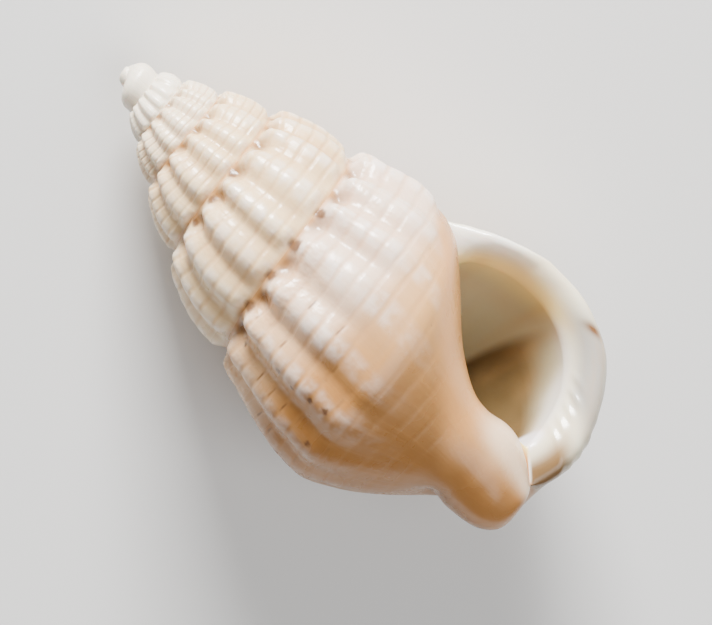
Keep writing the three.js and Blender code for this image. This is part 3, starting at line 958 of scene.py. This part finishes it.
# Brown dashes on the flanks of the ribs, painted shade in the pits beside the suture and a line of painted
# shade along it
flank = look.times(look.ramp(crest, *FLANK_START), look.ramp(crest, *FLANK_END), ribbed)
dash_noise = look.noise(look.vector(rib, look.times(cord, DASH_STRETCH), DASH_SLICE), DASH_SCALE, 1.0)
dash_width = look.times(look.ramp(to_groove, *DASH_WIDTH), corded, on_sheet)
dash = look.times(dash_width, flank, look.ramp(dash_noise, *DASH_PLACES), look.ramp(turn, *DASH_TURNS))
colour = look.mix(look.times(dash, DASH_COLOUR), colour, STAIN_BROWN)
# Painted shade in the pits between the rib heads beside the suture
pit = look.times(between, look.ramp(down, *PIT_ROWS), look.ramp(turn, *PIT_TURNS), on_sheet)
colour = look.mix(look.times(pit, look.ramp(patch, *PIT_PATCHES)), colour, PIT_PAINTED_SHADE)
# Painted shade along the suture, below it and, on whorls before the last, above it
above_suture = look.times(look.ramp(down, *ABOVE_SUTURE), look.ramp(turn, *BEFORE_LAST))
beside_suture = look.math("MAXIMUM", look.ramp(down, *BELOW_SUTURE), above_suture)
suture_shade = look.times(beside_suture, look.ramp(turn, *SUTURE_SHADE_TURNS), on_sheet)
colour = look.mix(look.times(suture_shade, SUTURE_SHADE_AMOUNT), colour, GROOVE_TAN)

# Growth lines, peach patches and ragged brown stains
colour = look.mix(look.times(look.ramp(growth, *GROWTH_LINES), growing, GROWTH_COLOUR), colour, GROOVE_TAN)
colour = look.mix(look.times(look.ramp(patch, *PEACH_PATCHES), PATCH_COLOUR), colour, PEACH)
raggedness = look.math("MULTIPLY_ADD", look.noise(place, RAGGED_SCALE), RAGGEDNESS, -RAGGEDNESS / 2)
ragged = look.plus(look.value("stain"), raggedness)
colour = look.mix(look.times(look.ramp(ragged, *STAIN_EDGE), STAIN_COLOUR), colour, STAIN_BROWN)
look.put(look.bsdf.inputs["Base Color"], colour)

# Gloss, highest inside the mouth
rough = look.math("MULTIPLY_ADD", mottle, MOTTLE_ROUGH, LEAST_ROUGH)
rough = look.plus(rough, look.times(groove, GROOVE_ROUGH))
look.put(look.bsdf.inputs["Roughness"], look.times(rough, look.ramp(inward, *MOUTH_GLOSS)))
look.bsdf.inputs["IOR"].default_value = SHELL_IOR
look.bsdf.inputs["Subsurface Weight"].default_value = UNDER_LIGHT
look.bsdf.inputs["Subsurface Radius"].default_value = UNDER_LIGHT_RADIUS
look.bsdf.inputs["Subsurface Scale"].default_value = UNDER_LIGHT_DEPTH

# Relief of growth lines and grooves, crinkles that are strongest on the rib heads, mottling and grain
engraved = look.times(groove, look.ramp(patch, *GROOVE_RELIEF))
relief = look.math("SUBTRACT", look.times(growth, growing, on_sheet, GROWTH_RELIEF), engraved)
relief = look.plus(relief, look.times(crinkle, ribbed, look.ramp(down, *CRINKLE_RELIEF)))
relief = look.plus(relief, look.times(mottle, MOTTLE_RELIEF))
relief = look.plus(relief, look.times(grain, GRAIN_RELIEF))
bump_node = look.nodes.new("ShaderNodeBump")
bump_node.inputs["Strength"].default_value = RELIEF_STRENGTH
bump_node.inputs["Distance"].default_value = RELIEF_REACH
look.put(bump_node.inputs["Height"], relief)
look.put(look.bsdf.inputs["Normal"], bump_node.outputs["Normal"])
mesh.materials.append(look.material)

# Floor, in metres
FLOOR_SIZE = 0.6
FLOOR_COLOUR = (0.78, 0.77, 0.75, 1)
FLOOR_ROUGH = 0.9

half = FLOOR_SIZE / 2
corners = [(-half, -half, 0), (half, -half, 0), (half, half, 0), (-half, half, 0)]
floor_mesh = bpy.data.meshes.new("floor")
floor_mesh.from_pydata(corners, [], [(0, 1, 2, 3)])
floor = bpy.data.objects.new("floor", floor_mesh)
bpy.context.scene.collection.objects.link(floor)
floor_look = Look("floor_look")
floor_look.bsdf.inputs["Base Color"].default_value = FLOOR_COLOUR
floor_look.bsdf.inputs["Roughness"].default_value = FLOOR_ROUGH
floor_mesh.materials.append(floor_look.material)

# Camera: it faces the mouth along the shell's own y axis, and the coiling axis slopes down to the right in
# the picture. The apex's pixel and the distance from there to the axis's zero, in pixels too, place the shell
# in the frame. The view distance, aim height and sensor are in millimetres.
PICTURE_WIDTH = 712
PICTURE_HEIGHT = 625
PIXELS_PER_MM = 45.31
AXIS_SLOPE = math.radians(47)
APEX_PIXEL = (99.7, 41.3)
AXIS_START = 627
VIEW_DISTANCE = 75.0
AIM_Z = 6.5
SENSOR = 36.0
NEAR_CLIP = 0.001

along = np.array([math.cos(AXIS_SLOPE), math.sin(AXIS_SLOPE)])
aim_pixel = np.array(APEX_PIXEL) + (AXIS_START - PIXELS_PER_MM * AIM_Z) * along
right = turned @ Vector((math.sin(AXIS_SLOPE), 0, -math.cos(AXIS_SLOPE)))
up = turned @ Vector((math.cos(AXIS_SLOPE), 0, math.sin(AXIS_SLOPE)))
back = turned @ Vector((0, -1, 0))
aim = turned @ Vector((0, 0, AIM_Z)) - Vector(shift)
camera_data = bpy.data.cameras.new("camera")
camera_data.sensor_width = SENSOR
camera_data.lens = VIEW_DISTANCE * SENSOR * PIXELS_PER_MM / PICTURE_WIDTH
camera_data.clip_start = NEAR_CLIP
camera_data.shift_x = (PICTURE_WIDTH / 2 - aim_pixel[0]) / PICTURE_WIDTH
camera_data.shift_y = (aim_pixel[1] - PICTURE_HEIGHT / 2) / PICTURE_WIDTH
camera = bpy.data.objects.new("camera", camera_data)
axes = Matrix((right, up, back)).transposed().to_4x4()
camera.matrix_world = Matrix.Translation((aim + back * VIEW_DISTANCE) * MM) @ axes
bpy.context.scene.collection.objects.link(camera)
bpy.context.scene.camera = camera

# Light: a soft source from the top of the picture, a weak one from the lower right and a pale surround. A
# source has its direction in the picture (right, up, towards the viewer), its power in watts and its size in
# metres.
LIGHTS = [
    ("key", 0.0, 1.0, 0.62, 1.35, 0.06),
    ("fill", 0.5, -0.5, 0.9, 0.22, 0.14),
]
LIGHT_DISTANCE = 0.16
SURROUND_COLOUR = (0.9, 0.93, 1.0, 1)
SURROUND_STRENGTH = 0.16

for name, across, upward, nearer, power, size in LIGHTS:
    lamp_data = bpy.data.lights.new(name, "AREA")
    lamp_data.energy = power
    lamp_data.size = size
    lamp = bpy.data.objects.new(name, lamp_data)
    direction = (right * across + up * upward + back * nearer).normalized()
    lamp.location = aim * MM + direction * LIGHT_DISTANCE
    lamp.rotation_euler = direction.to_track_quat("Z", "Y").to_euler()
    bpy.context.scene.collection.objects.link(lamp)
world = bpy.data.worlds.new("surround")
world.use_nodes = True
background = world.node_tree.nodes["Background"]
background.inputs["Color"].default_value = SURROUND_COLOUR
background.inputs["Strength"].default_value = SURROUND_STRENGTH
bpy.context.scene.world = world

bpy.context.view_layer.update()
